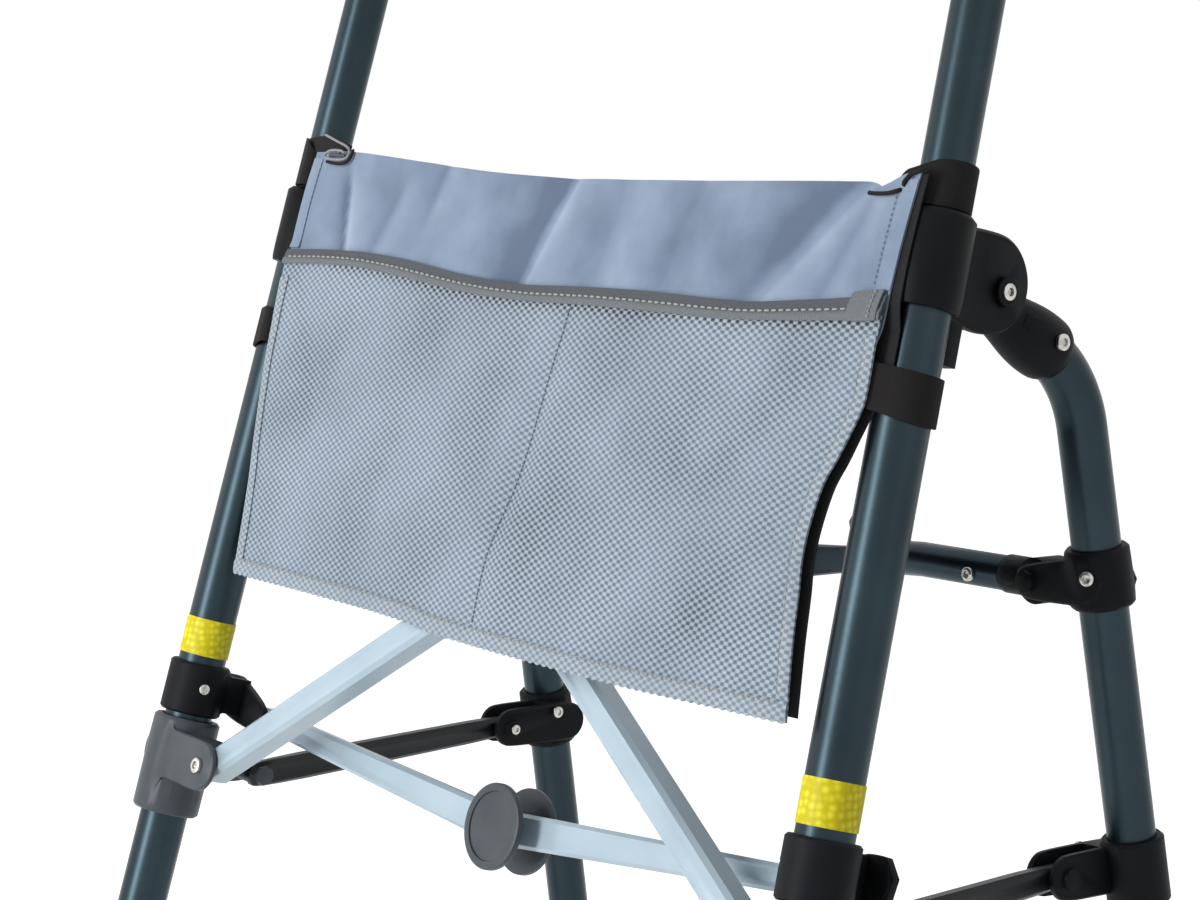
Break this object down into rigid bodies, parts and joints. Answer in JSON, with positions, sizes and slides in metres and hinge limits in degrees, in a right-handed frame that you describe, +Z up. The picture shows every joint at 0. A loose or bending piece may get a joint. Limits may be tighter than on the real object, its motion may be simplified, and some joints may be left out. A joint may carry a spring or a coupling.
{
  "type": "folding walker",
  "caption": "Folding aluminium walking frame with a scissor cross brace, telescoping handles, front wheels, rear tips and a hanging storage bag.",
  "frame": {"origin": "on the floor, in the middle of the width and the length", "axes": "+Z up, front with the bag faces -Y, the user faces -Y so the left hand is at +X"},
  "size_m": [0.6922, 0.4826, 0.9195],
  "materials": {
    "anodised_tube": "anodised teal grey, satin",
    "silver_bar": "anodised pale silver, satin",
    "dark_brace": "anodised dark grey, satin",
    "steel_hardware": "zinc-plated steel",
    "black_housing": "moulded nylon, fine grain",
    "grey_bracket": "moulded nylon, dark grey",
    "rubber_tip": "moulded rubber",
    "foam_grip": "soft moulded grip",
    "wheel_plastic": "moulded grey",
    "wheel_tread": "solid rubber tread",
    "reflective_tape": "yellow textured reflective tape",
    "bag_cloth": "coated blue-grey polyester",
    "bag_backing": "black polyester",
    "bag_mesh": "light grey open mesh",
    "bag_binding": "woven grey binding",
    "webbing": "black hook-and-loop webbing"
  },
  "bodies": {
    "right_side": {"right_front_leg": "anodised_tube", "right_leg_plug": "black_housing", "right_hinge_clamp": "black_housing", "right_hinge_bolt": "steel_hardware", "right_upper_bracket": "grey_bracket", "right_reflective_band": "reflective_tape", "right_wheel_axle": "steel_hardware", "right_upper_strap": "webbing", "right_lower_strap": "webbing", "bag_back_panel": "bag_backing", "bag_front": "bag_cloth", "bag_mesh_pocket": "bag_mesh", "bag_trim_band": "bag_binding"},
    "left_side": {"left_front_leg": "anodised_tube", "left_leg_plug": "black_housing", "left_hinge_clamp": "black_housing", "left_hinge_bolt": "steel_hardware", "left_upper_bracket": "grey_bracket", "left_reflective_band": "reflective_tape", "left_wheel_axle": "steel_hardware", "left_upper_strap": "webbing", "left_lower_strap": "webbing"},
    "cross_rear": {"cross_bar_rear": "silver_bar", "cross_pivot_bolt": "steel_hardware"},
    "cross_front": {"cross_bar_front": "silver_bar"},
    "right_slider": {"right_slider_bracket": "grey_bracket"},
    "right_rear": {"right_rear_leg": "anodised_tube", "right_rear_socket": "black_housing", "right_rear_tip": "rubber_tip", "right_side_brace_bracket": "black_housing", "right_rear_lock_bracket": "black_housing"},
    "right_brace": {"right_side_brace": "dark_brace"},
    "right_front_lock": {"right_front_lock_bar": "silver_bar", "right_front_lock_hub": "grey_bracket"},
    "right_rear_lock": {"right_rear_lock_knuckle": "black_housing", "right_rear_lock_bar": "silver_bar", "right_rear_lock_hub": "steel_hardware"},
    "right_handle": {"right_handle_tube": "anodised_tube", "right_handle_grip": "foam_grip"},
    "right_button": {"right_height_button": "steel_hardware"},
    "right_wheel": {"right_wheel_hub": "wheel_plastic", "right_wheel_tyre": "wheel_tread"},
    "left_slider": {"left_slider_bracket": "grey_bracket"},
    "left_rear": {"left_rear_leg": "anodised_tube", "left_rear_socket": "black_housing", "left_rear_tip": "rubber_tip", "left_side_brace_bracket": "black_housing", "left_rear_lock_bracket": "black_housing"},
    "left_brace": {"left_side_brace": "dark_brace"},
    "left_front_lock": {"left_front_lock_bar": "silver_bar", "left_front_lock_hub": "grey_bracket"},
    "left_rear_lock": {"left_rear_lock_knuckle": "black_housing", "left_rear_lock_bar": "silver_bar", "left_rear_lock_hub": "steel_hardware"},
    "left_handle": {"left_handle_tube": "anodised_tube", "left_handle_grip": "foam_grip"},
    "left_button": {"left_height_button": "steel_hardware"},
    "left_wheel": {"left_wheel_hub": "wheel_plastic", "left_wheel_tyre": "wheel_tread"}
  },
  "joints": [
    {"name": "fold", "type": "hinge", "parent": "right_side", "child": "cross_rear", "pos_m": [-0.23874, -0.03045, 0.63448], "axis": [0, 0.9683, -0.2499], "range_deg": [0, 22.89], "deforming": ["bag_back_panel", "bag_front", "bag_mesh_pocket", "bag_trim_band"]},
    {"name": "cross_scissor", "type": "hinge", "parent": "cross_rear", "child": "cross_front", "pos_m": [0, -0.06757, 0.49063], "axis": [0, -0.9683, 0.2499], "range_deg": [0, 44.81]},
    {"name": "left_side_swing", "type": "hinge", "parent": "cross_front", "child": "left_side", "pos_m": [0.23874, -0.03045, 0.63448], "axis": [0, 0.9683, -0.2499], "range_deg": [0, 22.89]},
    {"name": "right_slider_turn", "type": "hinge", "parent": "cross_front", "child": "right_slider", "pos_m": [-0.23061, -0.10343, 0.35169], "axis": [0, 0.9683, -0.2499], "range_deg": [0, 21.91]},
    {"name": "left_slider_turn", "type": "hinge", "parent": "cross_rear", "child": "left_slider", "pos_m": [0.23061, -0.10343, 0.35169], "axis": [0, -0.9683, 0.2499], "range_deg": [0, 21.91]},
    {"name": "right_rear_leg_swing", "type": "hinge", "parent": "right_side", "child": "right_rear", "pos_m": [-0.24135, 0.03212, 0.65385], "axis": [-0.9992, 0.0102, 0.0394], "range_deg": [0, 24.9]},
    {"name": "right_side_brace_turn", "type": "hinge", "parent": "right_slider", "child": "right_brace", "pos_m": [-0.2406, -0.07138, 0.34384], "axis": [0.9992, -0.0102, -0.0394], "range_deg": [0, 57.89]},
    {"name": "right_front_lock_turn", "type": "hinge", "parent": "right_side", "child": "right_front_lock", "pos_m": [-0.24827, -0.0951, 0.38398], "axis": [0, -0.9683, 0.2499], "range_deg": [0, 50.59]},
    {"name": "right_rear_lock_turn", "type": "hinge", "parent": "right_rear", "child": "right_rear_lock", "pos_m": [-0.21033, 0.12578, 0.50252], "axis": [0, -1, 0], "range_deg": [0, 53.4]},
    {"name": "left_rear_leg_swing", "type": "hinge", "parent": "left_side", "child": "left_rear", "pos_m": [0.24135, 0.03212, 0.65385], "axis": [-0.9992, -0.0102, -0.0394], "range_deg": [0, 24.9]},
    {"name": "left_side_brace_turn", "type": "hinge", "parent": "left_slider", "child": "left_brace", "pos_m": [0.2406, -0.07138, 0.34384], "axis": [0.9992, 0.0102, 0.0394], "range_deg": [0, 57.89]},
    {"name": "left_front_lock_turn", "type": "hinge", "parent": "left_side", "child": "left_front_lock", "pos_m": [0.24827, -0.0951, 0.38398], "axis": [0, 0.9683, -0.2499], "range_deg": [0, 50.59]},
    {"name": "left_rear_lock_turn", "type": "hinge", "parent": "left_rear", "child": "left_rear_lock", "pos_m": [0.21033, 0.12578, 0.50252], "axis": [0, 1, 0], "range_deg": [0, 53.4]},
    {"name": "right_handle_height", "type": "slide", "parent": "right_side", "child": "right_handle", "axis": [0.0407, 0.2497, 0.9675], "range_m": [-0.0508, 0.0762], "deforming": ["right_height_button"]},
    {"name": "right_height_button_press", "type": "slide", "parent": "right_handle", "child": "right_button", "axis": [-0.9992, 0.0102, 0.0394], "range_m": [0, 0.004], "stiffness_N_per_m": 800, "springref_m": -0.002, "deforming": ["right_height_button"]},
    {"name": "right_wheel_spin", "type": "hinge", "parent": "right_side", "child": "right_wheel", "pos_m": [-0.29276, -0.1778, 0.0635], "axis": [1, 0, 0], "continuous": true},
    {"name": "left_handle_height", "type": "slide", "parent": "left_side", "child": "left_handle", "axis": [-0.0407, 0.2497, 0.9675], "range_m": [-0.0508, 0.0762], "deforming": ["left_height_button"]},
    {"name": "left_height_button_press", "type": "slide", "parent": "left_handle", "child": "left_button", "axis": [0.9992, 0.0102, 0.0394], "range_m": [0, 0.004], "stiffness_N_per_m": 800, "springref_m": -0.002, "deforming": ["left_height_button"]},
    {"name": "left_wheel_spin", "type": "hinge", "parent": "left_side", "child": "left_wheel", "pos_m": [0.29276, -0.1778, 0.0635], "axis": [1, 0, 0], "continuous": true}
  ],
  "couplings": [
    {"joint": "cross_scissor", "follows": "fold", "ratio": 1.9572},
    {"joint": "left_side_swing", "follows": "fold", "ratio": 1},
    {"joint": "right_slider_turn", "follows": "fold", "ratio": 0.95718},
    {"joint": "left_slider_turn", "follows": "fold", "ratio": 0.95718},
    {"joint": "right_rear_leg_swing", "follows": "fold", "ratio": 1.0876},
    {"joint": "right_side_brace_turn", "follows": "fold", "ratio": 2.5286},
    {"joint": "right_front_lock_turn", "follows": "fold", "ratio": 2.2099},
    {"joint": "right_rear_lock_turn", "follows": "fold", "ratio": 2.3325},
    {"joint": "left_rear_leg_swing", "follows": "fold", "ratio": 1.0876},
    {"joint": "left_side_brace_turn", "follows": "fold", "ratio": 2.5286},
    {"joint": "left_front_lock_turn", "follows": "fold", "ratio": 2.2099},
    {"joint": "left_rear_lock_turn", "follows": "fold", "ratio": 2.3325}
  ]
}
